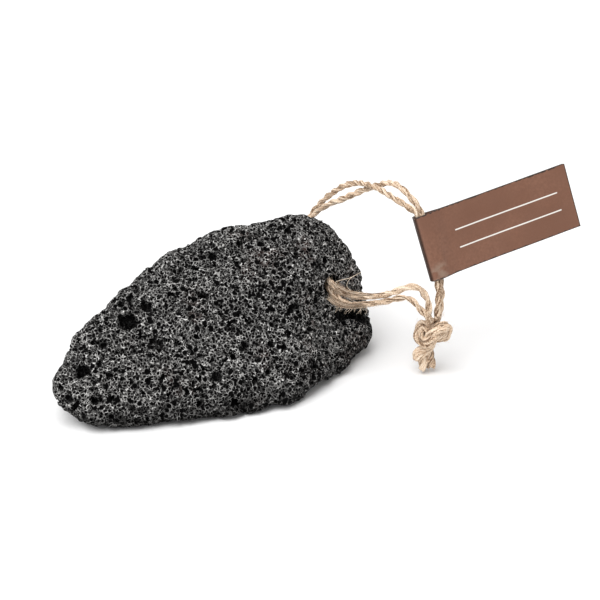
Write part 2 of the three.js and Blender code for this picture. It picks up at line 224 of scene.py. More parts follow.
class CardSettings(bpy.types.PropertyGroup):
    """The tag."""

    length: length_value("Length", "From the fold to the free end", 0.053)
    width: length_value("Width", "Along the fold", 0.0205)
    thickness: length_value("Thickness", "Of one leaf", 0.00036)
    turn: FloatVectorProperty(
        name="Turn", description="Lean, rise and yaw of the tag", subtype="EULER",
        default=(math.radians(-18), math.radians(-11), math.radians(-4)),
    )
    gape: length_value("Gape", "How far the leaves stand apart at the free end", 0.0005)
    seed: count_value("Seed", "How the card is bent", 3)
    face: colour_value("Face", "Brown of the card", (0.168, 0.072, 0.041))
    faded: colour_value("Faded", "Where the brown is thinner", (0.235, 0.107, 0.064))
    # Edge: the darker cut edges, with painted shade on their thickness, and a painted shade band along the fold.
    edge: colour_value("Edge", "Cut edges and the fold", (0.030, 0.016, 0.011))
    scuff: colour_value("Scuffs", "Where the card is creased at the fold", (0.27, 0.19, 0.14))
    rule: colour_value("Rules", "Pale lines to write on", (0.80, 0.77, 0.72))


class StudioSettings(bpy.types.PropertyGroup):
    """The floor, the lights and the camera."""

    aim: FloatVectorProperty(
        name="Aim", description="What the camera looks at", subtype="XYZ", unit="LENGTH",
        default=(0.022, -0.011, 0.027),
    )
    around: angle_value("Around", "Turn of the camera", -27)
    above: angle_value("Above", "Rise of the camera", 25)
    distance: length_value("Distance", "From the aim to the camera", 0.425)
    lens: FloatProperty(name="Lens", description="Focal length", subtype="DISTANCE_CAMERA", default=85)
    floor: colour_value("Floor", "Pale floor", (0.93, 0.93, 0.93))
    daylight: FloatProperty(name="Daylight", description="Light from all round", default=0.6, min=0)
    softbox: FloatProperty(name="Softbox", description="Large light, up and to the left", default=2.75, min=0)
    spread: angle_value("Spread", "Width of the light", 60)
    light_around: angle_value("Light around", "Turn of the light", -72)
    light_above: angle_value("Light above", "Rise of the light", 62)


# Curves and meshes

def blended(first, second, low, high, place):
    """The point between two points, or rows of points, at a place between low and high."""
    share = ((place - low) / (high - low))[:, None]
    return first * (1 - share) + second * share


def smooth_path(knots, step):
    """A smooth curve through the knots, in even steps."""
    ends = np.vstack([2 * knots[0] - knots[1], knots, 2 * knots[-1] - knots[-2]])
    share = np.linspace(0, 1, 24, endpoint=False)
    stretches = []
    for a, b, c, d in zip(ends, ends[1:], ends[2:], ends[3:]):
        gaps = [math.sqrt(np.linalg.norm(q - p)) for p, q in ((a, b), (b, c), (c, d))]
        t0, t1, t2, t3 = np.cumsum([0.0, *gaps])
        t = t1 + share * (t2 - t1)
        ab, bc, cd = blended(a, b, t0, t1, t), blended(b, c, t1, t2, t), blended(c, d, t2, t3, t)
        stretches.append(blended(blended(ab, bc, t0, t2, t), blended(bc, cd, t1, t3, t), t1, t2, t))
    dense = np.vstack([*stretches, knots[-1:]])
    along = arc_length(dense)
    even = np.linspace(0, along[-1], max(2, round(along[-1] / step)) + 1)
    return np.stack([np.interp(even, along, dense[:, axis]) for axis in range(3)], axis=1)


def arc_length(path):
    return np.concatenate([[0], np.cumsum(np.linalg.norm(np.diff(path, axis=0), axis=1))])


def unit(vectors):
    return vectors / np.maximum(np.linalg.norm(vectors, axis=-1, keepdims=True), 1e-12)


def carried_frame(path, first=(0.3, 0.2, 0.9)):
    """Directions along a path, and two across it that are carried along without twisting."""
    along = unit(np.gradient(path, axis=0))
    across = np.empty_like(along)
    last = np.asarray(first, float)
    for i, direction in enumerate(along):
        last = unit(last - direction * (last @ direction))
        across[i] = last
    return along, across, np.cross(along, across)


def drift(rng, along, wave, rows):
    """Rows of smooth random values from -1 to 1 along a strand."""
    knots = rng.uniform(-1, 1, (rows, int(along[-1] / wave) + 3))
    place = along / wave
    whole = place.astype(int)
    part = place - whole
    part = part * part * (3 - 2 * part)
    return knots[:, whole] * (1 - part) + knots[:, whole + 1] * part


def tubes(centres, outward, radii, sides):
    """Points and faces of many tubes at once, each a row of centres. A six-sided tube has closed ends."""
    count, steps = centres.shape[:2]
    forward = unit(np.gradient(centres, axis=1))
    outward = unit(outward - forward * np.sum(outward * forward, axis=-1, keepdims=True))
    aside = np.cross(forward, outward)
    turn = np.arange(sides) * 2 * np.pi / sides
    rings = outward[:, :, None] * np.cos(turn)[:, None] + aside[:, :, None] * np.sin(turn)[:, None]
    points = centres[:, :, None] + rings * radii[:, :, None, None]
    index = np.arange(count * steps * sides).reshape(count, steps, sides)
    ahead = np.roll(index, -1, axis=2)
    faces = [np.stack([index[:, :-1], ahead[:, :-1], ahead[:, 1:], index[:, 1:]], axis=-1).reshape(-1, 4)]
    if sides == 6:
        faces += [index[:, -1, [0, 1, 2, 3]], index[:, -1, [0, 3, 4, 5]]]
        faces += [index[:, 0, [3, 2, 1, 0]], index[:, 0, [5, 4, 3, 0]]]
    return points.reshape(-1, 3), np.vstack(faces)


def joined(parts):
    """One set of points, faces and tones from several."""
    points, faces, tones, start = [], [], [], 0
    for some_points, some_faces, some_tones in parts:
        points.append(some_points)
        faces.append(some_faces + start)
        tones.append(some_tones)
        start += len(some_points)
    return np.vstack(points), np.vstack(faces), np.concatenate(tones)


def note_on(mesh, values):
    """Keeps one value of each name on every point of a mesh."""
    for name, numbers in values.items():
        noted_values = mesh.attributes.new(name, "FLOAT", "POINT").data
        noted_values.foreach_set("value", np.asarray(numbers, np.float32))


def shown(name, points, faces, material, **values):
    """A smooth mesh object with one value of each name on every point."""
    mesh = bpy.data.meshes.new(name)
    mesh.from_pydata(points, [], faces)
    note_on(mesh, values)
    mesh.shade_smooth()
    mesh.materials.append(material)
    piece = bpy.data.objects.new(name, mesh)
    bpy.context.collection.objects.link(piece)
    return piece


def settled(piece):
    """Applies a piece's modifiers to its mesh."""
    graph = bpy.context.evaluated_depsgraph_get()
    mesh = bpy.data.meshes.new_from_object(
        piece.evaluated_get(graph), preserve_all_data_layers=True, depsgraph=graph,
    )
    old = piece.data
    piece.modifiers.clear()
    piece.data = mesh
    mesh.name = old.name
    bpy.data.meshes.remove(old)


def placed(piece, slot, *nodes):
    """A piece rides on the one body and stands for the nodes. The slot is not used."""
    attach(piece, "root")
    if nodes:
        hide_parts(*nodes)


# Twine

def strand(path, diameter, jute, rng):
    """Two plies wound round each other, each of several rovings of fibre, with thick and thin places."""
    forward, across, aside = carried_frame(path)
    along = arc_length(path)
    swell = 1 + 0.1 * drift(rng, along, 0.011, 1)[0]
    twist = 2 * np.pi * along / jute.lay + 0.5 * drift(rng, along, 0.02, 1)[0]
    parts = []
    for ply in range(2):
        turn = (twist + ply * np.pi)[:, None]
        out = across * np.cos(turn) + aside * np.sin(turn)
        middle = path + out * (PLY_OFFSET * diameter * swell)[:, None]
        tangent = unit(np.gradient(middle, axis=0))
        side = np.cross(tangent, out)
        rows = jute.rovings
        start = np.arange(rows)[:, None] * 2 * np.pi / rows
        roll = start - 0.55 * twist + 0.5 * drift(rng, along, 0.006, rows)
        ring = ROVING_RING * diameter * swell * (1 + 0.2 * drift(rng, along, 0.005, rows))
        facing = out * np.cos(roll)[:, :, None] + side * np.sin(roll)[:, :, None]
        centres = middle + facing * ring[:, :, None]
        radii = ROVING_RADIUS * diameter * swell * (1 + 0.25 * drift(rng, along, 0.004, rows))
        points, faces = tubes(centres, facing, radii, 6)
        tone = rng.uniform(0.15, 0.85, (rows, 1)) + 0.36 * drift(rng, along, 0.004, rows)
        parts.append((points, faces, np.repeat(tone.ravel(), 6)))
    return joined(parts)


def hairs(path, diameter, jute, rng):
    """Loose fibres that lean away from a strand and stay close to it."""
    along = arc_length(path)
    count = max(1, round(jute.hairs * along[-1] * 100))
    forward, across, aside = carried_frame(path)
    root = rng.choice(np.flatnonzero(~in_fold(path)), count)
    turn = rng.uniform(0, 2 * np.pi, (count, 1))
    out = across[root] * np.cos(turn) + aside[root] * np.sin(turn)
    way = forward[root] * rng.choice([-1, 1], (count, 1))
    reach = rng.gamma(2.2, 0.0006, (count, 1)).clip(*HAIR_REACH)
    rise = np.minimum(rng.uniform(0.12, 0.75, (count, 1)), HAIR_STANDS / reach)
    curl = unit(rng.normal(size=(count, 3))) * np.minimum(0.45 * reach, HAIR_CURL)
    share = np.linspace(0, 1, 6)[:, None]
    start = path[root] + out * 0.38 * diameter
    lean = way * reach + out * (rise * reach)
    centres = start[:, None] + lean[:, None] * share + curl[:, None] * share ** 2
    centres[:, :, 2] = np.maximum(centres[:, :, 2], jute.hair)
    thick = rng.uniform(0.35, 0.6, (count, 1)) * jute.hair
    radii = thick * np.linspace(1, 0.35, 6)
    points, faces = tubes(centres, np.repeat(out[:, None], 6, axis=1), radii, 3)
    return points, faces, np.repeat(rng.uniform(0.5, 1, count), 18)


def in_fold(path):
    """Which points of a path lie within the tag's fold."""
    turn = np.array(Euler(bpy.context.scene.pumice_card.turn, "XYZ").to_matrix())
    x, y, z = ((path - np.array(TAG_FOLD)) @ turn).T
    along, across, up = NO_HAIRS_WITHIN
    return (np.abs(z) < up) & (np.abs(y) < across) & (x > 0) & (x < along)


def fibres(paths, jute, rng, stout=1.0, tones=(0.2, 1), steps=14):
    """Single long fibres along the given paths, so many times as thick as a loose hair."""
    centres = np.stack([smooth_path(path, arc_length(path)[-1] / 40) for path in paths_evened(paths, steps)])
    up = np.broadcast_to(np.array((0.25, 0.3, 0.9)), centres.shape)
    thick = rng.uniform(0.45, 0.8, (len(centres), 1)) * jute.hair * stout
    radii = thick * np.linspace(1, 0.5, centres.shape[1])
    points, faces = tubes(centres, up, radii, 3)
    return points, faces, np.repeat(rng.uniform(*tones, len(centres)), 3 * centres.shape[1])


def paths_evened(paths, steps):
    """The paths with the same number of points on each."""
    return [smooth_path(path, arc_length(path)[-1] / steps)[:steps] for path in paths]


class PUMICE_OT_twine(bpy.types.Operator):
    """Winds the two strands of jute that make the hanging loop"""

    bl_idname = "pumice.twine"
    bl_label = "Twine"

    def execute(self, context):
        jute = context.scene.pumice_jute
        rng = np.random.default_rng(jute.seed)
        for name, route in (("twine_upper", UPPER_ROUTE), ("twine_lower", LOWER_ROUTE)):
            path = smooth_path(route, jute.step)
            from_mouth = np.linalg.norm(path - HOLE_MOUTH, axis=1)
            thin = 1 - LOSS_IN_MOUTH * np.exp(-(from_mouth / LOSS_REACH) ** 2)
            points, faces, tone = joined([
                strand(path, jute.diameter * thin, jute, rng),
                hairs(path, jute.diameter, jute, rng),
            ])
            piece = shown(name + "_strand", points, faces, jute_material(jute), tone=tone)
            placed(piece, "jute", name)
        return {"FINISHED"}


class PUMICE_OT_knot(bpy.types.Operator):
    """Ties the four strand ends in one overhand knot with short cut tails"""

    bl_idname = "pumice.knot"
    bl_label = "Knot"

    def execute(self, context):
        jute = context.scene.pumice_jute
        rng = np.random.default_rng(jute.seed + 1)
        turn = smooth_path(KNOT_TURN, jute.step)
        along = arc_length(turn)
        forward, across, aside = carried_frame(turn, (1, 0, 0))
        settle = (along / KNOT_GATHERS).clip(0, 1)
        settle = settle * settle * (3 - 2 * settle)
        half = KNOT_SQUEEZE * jute.knot_diameter
        ends = [UPPER_ROUTE[0], LOWER_ROUTE[0], UPPER_ROUTE[-1], LOWER_ROUTE[-1]]
        parts = []
        for end, corner, tail in zip(ends, KNOT_CORNERS, KNOT_TAILS):
            start = knot_local(end) - turn[0]
            offset = across * (half * corner[0]) + aside * (half * corner[1])
            run = turn + start * (1 - settle)[:, None] + offset * settle[:, None]
            path = smooth_path(knot_world(np.vstack([run[::6], tail])), jute.step)
            reach = arc_length(path)
            flare = 1 + TAIL_FLARE * np.exp(-((reach[-1] - reach) / TAIL_FLARE_REACH) ** 2)
            parts.append(strand(path, jute.knot_diameter * flare, jute, rng))
            parts.append(hairs(path, jute.knot_diameter, jute, rng))
        points, faces, tone = joined(parts)
        placed(shown("overhand_knot", points, faces, jute_material(jute), tone=tone), "jute", "knot")
        return {"FINISHED"}


def knot_local(point):
    """A point seen from the knot's own middle and front."""
    c, s = math.cos(KNOT_TURNED), math.sin(KNOT_TURNED)
    x, y, z = point - KNOT_MIDDLE
    return np.array((c * x + s * y, c * y - s * x, z))


def knot_world(points):
    c, s = math.cos(KNOT_TURNED), math.sin(KNOT_TURNED)
    x, y, z = points.T
    return np.stack([c * x - s * y, s * x + c * y, z], axis=1) + KNOT_MIDDLE


class PUMICE_OT_loose_fibres(bpy.types.Operator):
    """Frays the twine in the mouth of the hole"""

    bl_idname = "pumice.loose_fibres"
    bl_label = "Loose fibres"

    def execute(self, context):
        jute = context.scene.pumice_jute
        rng = np.random.default_rng(jute.seed + 2)
        tuft = [frayed_path(LOOSENED[i % 2], rng) for i in range(jute.frayed)]
        fuzz = [drooping_path(LOOSENED[1], rng) for _ in range(jute.frayed // 6)]
        points, faces, tone = joined([
            # Many of the tuft's fibres take the darkest tone: painted shade in the gaps between its fibres in
            # the mouth of the hole.
            fibres(tuft[::2], jute, rng, 2.3, (-1.0, 1.3)),
            fibres(tuft[1::2], jute, rng, 1.4, (-0.6, 1.4)),
            fibres(fuzz, jute, rng, 0.9, (0.9, 1.3)),
            fibres(SPRUNG_FIBRES, jute, rng, 2.2, (1, 1.2)),
        ])
        placed(shown("frayed_fibres", points, faces, jute_material(jute), tone=tone), "jute")
        return {"FINISHED"}


def frayed_path(run, rng):
    """A fibre that leaves a strand's twist, spreads in the mouth of the hole and goes on inside."""
    turn = rng.uniform(0, 2 * np.pi)
    away = np.array((0.55 * math.cos(turn), -0.8 * math.cos(turn), math.sin(turn)))
    out = MM * math.sqrt(rng.uniform(0.15, 1)) * away
    spread = np.interp(np.arange(len(run)), [0, 2, 4, 5, 6], [0.6, 0.65, 0.8, 1.15, 1.2])
    wander = np.cumsum(rng.normal(0, 0.00012, run.shape), axis=0)
    path = run + out * spread[:, None] + wander
    first = rng.integers(0, 3)
    path[first] = run[first] + out * 0.6
    return path[first:]


def drooping_path(run, rng):
    """A short fine fibre that hangs down from a loosened strand."""
    start = run[rng.integers(3, 6)] + MM * np.array((rng.uniform(-1.8, 1.8), -0.5, -0.8))
    fall = MM * rng.uniform(0.3, 1.0) * np.array((rng.uniform(-1.7, 0.3), rng.uniform(-0.5, 0.2), -1.6))
    curl = MM * rng.normal(0, 0.35, 3)
    return np.array([start, start + 0.35 * fall + curl, start + 0.7 * fall + 1.3 * curl, start + fall + curl])


# Tag

class PUMICE_OT_tag(bpy.types.Operator):
    """Folds a strip of card round the twine"""

    bl_idname = "pumice.tag"
    bl_label = "Tag"

    def execute(self, context):
        card = context.scene.pumice_card
        rng = np.random.default_rng(card.seed)
        section, along = tag_section(card)
        rows = np.linspace(-0.5, 0.5, 43) * card.width
        forward = unit(np.gradient(section, axis=0))
        normal = np.stack([-forward[:, 1], forward[:, 0]], axis=1)
        bend = tag_bends(along, rows, rng)
        flat = section[:, None] + normal[:, None] * bend[:, :, None]
        local = np.concatenate([flat, np.broadcast_to(rows[None, :, None], (*bend.shape, 1))], axis=2)
        turn = np.array(Euler(card.turn, "XYZ").to_matrix())
        points = local.reshape(-1, 3) @ turn.T + np.array(TAG_FOLD)
        index = np.arange(bend.size).reshape(bend.shape)
        corners = [index[:-1, :-1], index[1:, :-1], index[1:, 1:], index[:-1, 1:]]
        faces = np.stack(corners, axis=-1).reshape(-1, 4)
        piece = shown(
            "folded_tag", points, faces, card_material(card),
            along=np.repeat(np.abs(along), len(rows)), across=np.tile(rows, len(along)),
        )
        leaf = piece.modifiers.new("leaf", "SOLIDIFY")
        leaf.thickness, leaf.offset = card.thickness, 0
        trim = piece.modifiers.new("trim", "BEVEL")
        trim.width, trim.segments, trim.limit_method = 0.00008, 2, "ANGLE"
        settled(piece)
        placed(piece, "card", "tag")
        return {"FINISHED"}


def tag_section(card):
    """The card's middle line round the fold, from one free end to the other, and how far along each point is."""
    inset = card.thickness / 2 + 0.00004
    leaf = np.linspace(card.length, EYE_CLOSES, 60, endpoint=False)
    opening = card.gape / 2 * ((leaf - EYE_CLOSES) / (card.length - EYE_CLOSES)) ** 2
    halves = []
    for depth, side in zip(EYE_DEPTHS, (1, -1)):
        shoulder = smooth_path(np.array([
            (EYE_CLOSES + 0.004, inset, 0), (EYE_CLOSES, inset, 0),
            (EYE_NARROWS, 0.86 * depth + inset, 0), (EYE_MIDDLE, depth + inset, 0),
        ]), 0.0003)[:, :2]
        shoulder = shoulder[shoulder[:, 0] < EYE_CLOSES]
        turn = np.linspace(0, np.pi / 2, 18)[1:]
        nose = np.stack([
            EYE_MIDDLE - (EYE_MIDDLE - inset) * np.sin(turn) ** 0.75, (depth + inset) * np.cos(turn) ** 0.75,
        ], axis=1)
        halves.append(np.vstack([np.stack([leaf, inset + opening], axis=1), shoulder, nose]) * (1, side))
    back, front = halves
    section = np.vstack([back, front[-2::-1]])
    side = np.where(np.arange(len(section)) < len(back), 1, -1)
    return section, section[:, 0] * side


def tag_bends(along, rows, rng):
    """How far the card bends from its plain fold: slow waves, and dents where the twine presses."""
    x, z = np.abs(along)[:, None] * 1000, rows[None] * 1000
    waves = np.zeros((len(along), len(rows)))
    for wave in (38, 19, 11):
        slope, lean, start = rng.uniform(0.6, 1.2), rng.uniform(-0.6, 0.6), rng.uniform(0, 6.28, 2)
        waves += 0.0035 * wave * np.sin(6.28 * (x * slope + z * lean) / wave + start[0])
    for middle, lean, wide, height in ((4.6, -6.6, 1.5, 0.32), (6.4, -5, 1.2, -0.22), (2.2, 7, 1.4, 0.16)):
        waves -= height * np.exp(-((x - middle) / wide) ** 2 - ((z - lean) / (2.1 * wide)) ** 2)
    held = 1 - np.exp(-(x / 4) ** 2)
    return MM * waves * held


# Stone

class PUMICE_OT_stone(bpy.types.Operator):
    """Blows the bubbles in the skin of the lava"""

    bl_idname = "pumice.stone"
    bl_label = "Stone"

    def execute(self, context):
        lava = context.scene.pumice_lava
        rng = np.random.default_rng(lava.seed)
        grain = 1000 * lava.grain
        body, corner = stone_field(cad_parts["stone"], grain)
        body = dented(softened(softened(body, 2), 1) - SKIN_LET_OUT, corner, grain)
        skin = skin_over(body, grain, PIT_REACH)
        for size, share in LUMPS:
            body += lumps(rng, body.shape, round(size / grain)) * lava.lump * (1000 * share)
        froth = np.full(body.shape, -2.0, np.float32)
        foot = round(PLAIN_FOOT / grain) - corner[2]
        for count, size, spread in ((lava.vents, lava.vent, 0.3), (lava.bubbles, lava.bubble, 0.2)):
            sizes = np.sort(1000 * size * np.exp(rng.normal(0, spread, count)))[::-1]
            blow(froth, body, foot, sizes, grain, rng)
        rough = froth + BUBBLE_ROUGHNESS * lumps(rng, body.shape, max(2, round(BUBBLE_ROUGH_SIZE / grain)))
        points, faces = skinned(np.maximum(body, rough), corner, grain)
        points[:, 2] = np.maximum(points[:, 2], 0)
        piece = shown("lava_stone", points * MM, faces, lava_material(lava))
        thin = piece.modifiers.new("thin", "DECIMATE")
        thin.ratio = min(1, lava.triangles / (2 * len(faces)))
        thin.use_collapse_triangulate = True
        settled(piece)
        one_lump(piece)
        mark_hollows(piece, skin, froth, corner, grain)
        placed(piece, "lava", "stone")
        return {"FINISHED"}


def stone_field(node, grain):
    """Distance to the solid stone, in millimetres, on a block of grains, and that block's lowest corner."""
    mesh = node.data
    mesh.calc_loop_triangles()
    points = np.empty(len(mesh.vertices) * 3, np.float32)
    mesh.vertices.foreach_get("co", points)
    points = 1000 * points.reshape(-1, 3)
    triangles = np.empty(len(mesh.loop_triangles) * 3, np.int32)
    mesh.loop_triangles.foreach_get("vertices", triangles)
    grid = openvdb.FloatGrid.createLevelSetFromPolygons(
        points, triangles=triangles.reshape(-1, 3).astype(np.uint32),
        transform=openvdb.createLinearTransform(voxelSize=grain), exBandWidth=8.0, inBandWidth=12.0,
    )
    corner = np.floor(points.min(axis=0) / grain).astype(int) - 6
    size = np.ceil(points.max(axis=0) / grain).astype(int) + 7 - corner
    field = np.empty(size, np.float32)
    grid.copyToArray(field, ijk=tuple(int(i) for i in corner))
    return field, corner


def dented(body, corner, grain):
    """The body with the long hollows pressed into it."""
    places = [(np.arange(size) + low) * grain for size, low in zip(body.shape, corner)]
    for start, end, radius in DENTS:
        start, end = np.array(start), np.array(end)
        low, high = np.minimum(start, end) - radius - 1, np.maximum(start, end) + radius + 1
        block = tuple(slice(*np.searchsorted(at, (a, b))) for at, a, b in zip(places, low, high))
        x, y, z = np.meshgrid(*(at[part] for at, part in zip(places, block)), indexing="ij", sparse=True)
        run = end - start
        ahead = (x - start[0]) * run[0] + (y - start[1]) * run[1] + (z - start[2]) * run[2]
        share = (ahead / (run @ run)).clip(0, 1)
        away = [at - a - share * b for at, a, b in zip((x, y, z), start, run)]
        dent = radius - np.sqrt(away[0] ** 2 + away[1] ** 2 + away[2] ** 2)
        step = (0.5 + (dent - body[block]) / (2 * DENT_ROUNDING)).clip(0, 1)
        body[block] = body[block] * (1 - step) + dent * step + DENT_ROUNDING * step * (1 - step)
    return body


def softened(field, reach):
    """A running mean over that many grains each way along each axis."""
    width = 2 * reach + 1
    for axis in range(3):
        pad = [(reach + 1, reach) if a == axis else (0, 0) for a in range(3)]
        total = np.cumsum(np.pad(field, pad, mode="edge"), axis=axis, dtype=np.float64)
        size = field.shape[axis]
        upper = np.take(total, range(width, width + size), axis=axis)
        lower = np.take(total, range(size), axis=axis)
        field = ((upper - lower) / width).astype(np.float32)
    return field


def lumps(rng, shape, cell):
    """Smooth random heights from -1 to 1 through a block, in lumps about a cell across."""
    field = rng.uniform(-1, 1, [size // cell + 2 for size in shape]).astype(np.float32)
    for axis, size in enumerate(shape):
        place = np.arange(size) / cell
        whole = place.astype(int)
        part = place - whole
        part = part * part * (3 - 2 * part)
        weights = np.zeros((size, field.shape[axis]), np.float32)
        weights[np.arange(size), whole] = 1 - part
        weights[np.arange(size), whole + 1] = part
        field = np.moveaxis(np.tensordot(weights, field, (1, axis)), 0, axis)
    return field


def blow(froth, body, foot, sizes, grain, rng):
    """Blows bubbles of these radii in the skin above the foot, where there is room.

    Froth is how far inside a bubble each grain is.
    """
    skin = np.argwhere((body > -0.9) & (body < 0.25)).astype(np.int32)
    skin = skin[skin[:, 2] > foot]
    tries = skin[rng.integers(0, len(skin), (len(sizes), 5))]
    shifts = rng.uniform(-0.5, 0.5, (len(sizes), 3))
    for size, places, shift in zip(sizes, tries, shifts):
        room = froth[tuple(places.T)] < -0.72 * size
        if not room.any():
            continue
        x, y, z = places[room.argmax()]
        reach = int((size + 0.7) / grain) + 1
        low = np.maximum((x - reach, y - reach, z - reach), 0)
        high = np.minimum((x + reach + 1, y + reach + 1, z + reach + 1), body.shape)
        block = tuple(slice(a, b) for a, b in zip(low, high))
        stretch = np.exp(rng.normal(0, 0.13, 3)) * grain
        spans = zip(low, high, (x, y, z), shift, stretch)
        dx, dy, dz = ((np.arange(a, b) - c - s) * k for a, b, c, s, k in spans)
        skew = rng.uniform(-0.25, 0.25)
        dx = dx[:, None, None]
        squares = (dx + skew * dz) ** 2 + (dy[:, None] + skew * dx) ** 2 + dz ** 2
        froth[block] = np.maximum(froth[block], size - np.sqrt(squares))


def skinned(field, corner, grain):
    """The surface of a field as points and four-sided faces that face outwards, in millimetres."""
    grid = openvdb.FloatGrid(float(field.max()))
    grid.copyFromArray(field)
    points, faces = grid.convertToQuads(isovalue=0)
    points = (points + corner) * grain
    faces = faces.astype(np.int32)
    a, b, c = (points[faces[:, i]] for i in (0, 1, 2))
    if np.sum(np.cross(b - a, c - a) * a) < 0:
        faces = faces[:, ::-1]
    return points, faces


def one_lump(piece):
    """Drops the crumbs and the sealed bubbles that aren't joined to the stone's own surface."""
    mesh = piece.data
    edges = np.empty(len(mesh.edges) * 2, np.int32)
    mesh.edges.foreach_get("vertices", edges)
    first, second = edges.reshape(-1, 2).T
    label = np.arange(len(mesh.vertices))
    while True:
        lowest = np.minimum(label[first], label[second])
        spread = label.copy()
        np.minimum.at(spread, first, lowest)
        np.minimum.at(spread, second, lowest)
        spread = spread[spread]
        if np.array_equal(spread, label):
            break
        label = spread
    keep = label == np.bincount(label).argmax()
    corners = np.empty(len(mesh.polygons) * 3, np.int32)
    mesh.polygons.foreach_get("vertices", corners)
    corners = corners.reshape(-1, 3)
    corners = corners[keep[corners[:, 0]]]
    points = np.empty(len(mesh.vertices) * 3)
    mesh.vertices.foreach_get("co", points)
    fresh = np.cumsum(keep) - 1
    mesh.clear_geometry()
    mesh.from_pydata(points.reshape(-1, 3)[keep], [], fresh[corners])
    mesh.shade_smooth()


def skin_over(field, grain, reach):
    """Distance, in millimetres, to a skin drawn over the hollows narrower than twice the reach."""
    grid = openvdb.FloatGrid(float(field.max()))
    grid.copyFromArray(field)
    points, faces = grid.convertToQuads(isovalue=reach)
    over = openvdb.FloatGrid.createLevelSetFromPolygons(
        points, quads=faces, transform=openvdb.createLinearTransform(voxelSize=1.0),
        exBandWidth=3.0, inBandWidth=6.0 / grain,
    )
    skin = np.empty(field.shape, np.float32)
    over.copyToArray(skin)
    return skin * grain + reach


def mark_hollows(piece, skin, froth, corner, grain):
    """Notes on each point how deep under the skin it is and how near to a bubble's edge."""
    mesh = piece.data
    points = np.empty(len(mesh.vertices) * 3)
    mesh.vertices.foreach_get("co", points)
    place = points.reshape(-1, 3) * 1000 / grain - corner
    depth = -sampled(skin, place)
    edge = np.exp(np.minimum(sampled(froth, place), 0) / 0.12) * (1 - depth / 0.4).clip(0, 1)
    note_on(mesh, {"depth": depth, "edge": edge})


def sampled(field, place):
    """Values of a field between its grains."""
    whole = np.floor(place).astype(int).clip(0, np.array(field.shape) - 2)
    part = place - whole
    total = np.zeros(len(place))
    for x in (0, 1):
        for y in (0, 1):
            for z in (0, 1):
                share = np.abs((1 - x, 1 - y, 1 - z) - part).prod(axis=1)
                total += share * field[whole[:, 0] + x, whole[:, 1] + y, whole[:, 2] + z]
    return total


# Finishes

def wired(tree, kind, values=None, **settings):
    """A shader node with its settings, and its inputs set or linked by name or number."""
    made = tree.nodes.new("ShaderNode" + kind)
    for name, value in settings.items():
        setattr(made, name, value)
    for socket, value in (values or {}).items():
        if isinstance(value, bpy.types.NodeSocket):
            tree.links.new(value, made.inputs[socket])
        else:
            made.inputs[socket].default_value = value
    return made


def noted(tree, name):
    return wired(tree, "Attribute", attribute_name=name).outputs["Fac"]


def ranged(tree, value, low, high, bottom=0.0, top=1.0):
    """A value between low and high spread smoothly from bottom to top."""
    node = wired(tree, "MapRange", {
        "Value": value, "From Min": low, "From Max": high, "To Min": bottom, "To Max": top,
    }, interpolation_type="SMOOTHSTEP")
    return node.outputs["Result"]


def sums(tree, operation, first, second):
    return wired(tree, "Math", {0: first, 1: second}, operation=operation).outputs[0]


def mixed(tree, share, first, second, blend="MIX"):
    """Two colours mixed by a share."""
    node = wired(tree, "Mix", {"Factor": share}, data_type="RGBA", blend_type=blend)
    for socket, colour in ((node.inputs[6], first), (node.inputs[7], second)):
        if isinstance(colour, bpy.types.NodeSocket):
            tree.links.new(colour, socket)
        else:
            socket.default_value = (*colour, 1)
    return node.outputs[2]


def cloudy_patches():
    """A group that gives soft patches over a surface, as a mask from 0 to 1."""
    group = bpy.data.node_groups.get("Cloudy patches")
    if group:
        return group
    group = bpy.data.node_groups.new("Cloudy patches", "ShaderNodeTree")
    for name, default in (("Scale", 100.0), ("Detail", 3.0), ("From", 0.4), ("To", 0.6)):
        socket = group.interface.new_socket(name, in_out="INPUT", socket_type="NodeSocketFloat")
        socket.default_value = default
    group.interface.new_socket("Mask", in_out="OUTPUT", socket_type="NodeSocketFloat")
    given = group.nodes.new("NodeGroupInput").outputs
    place = wired(group, "TexCoord").outputs["Object"]
    noise = wired(group, "TexNoise", {"Vector": place, "Scale": given["Scale"], "Detail": given["Detail"]})
    mask = ranged(group, noise.outputs["Fac"], given["From"], given["To"])
    group.links.new(mask, group.nodes.new("NodeGroupOutput").inputs["Mask"])
    return group


def patches(tree, scale, detail, low, high):
    node = wired(tree, "Group", node_tree=cloudy_patches())
    for name, value in (("Scale", scale), ("Detail", detail), ("From", low), ("To", high)):
        node.inputs[name].default_value = value
    return node.outputs["Mask"]


def fresh_material(name):
    """A material with an empty Principled shader, and that shader."""
    material = bpy.data.materials.new(name)
    material.use_nodes = True
    return material, material.node_tree, material.node_tree.nodes["Principled BSDF"]


def froth_cells(tree, place, scale, feature):
    """Cells of froth: the distance from their walls or middles, and a random value for each cell."""
    cells = {"Vector": place, "Scale": scale}
    distance = wired(tree, "TexVoronoi", cells, feature=feature).outputs["Distance"]
    colour = wired(tree, "TexVoronoi", cells).outputs["Color"]
    return distance, wired(tree, "SeparateColor", {"Color": colour}).outputs["Red"]


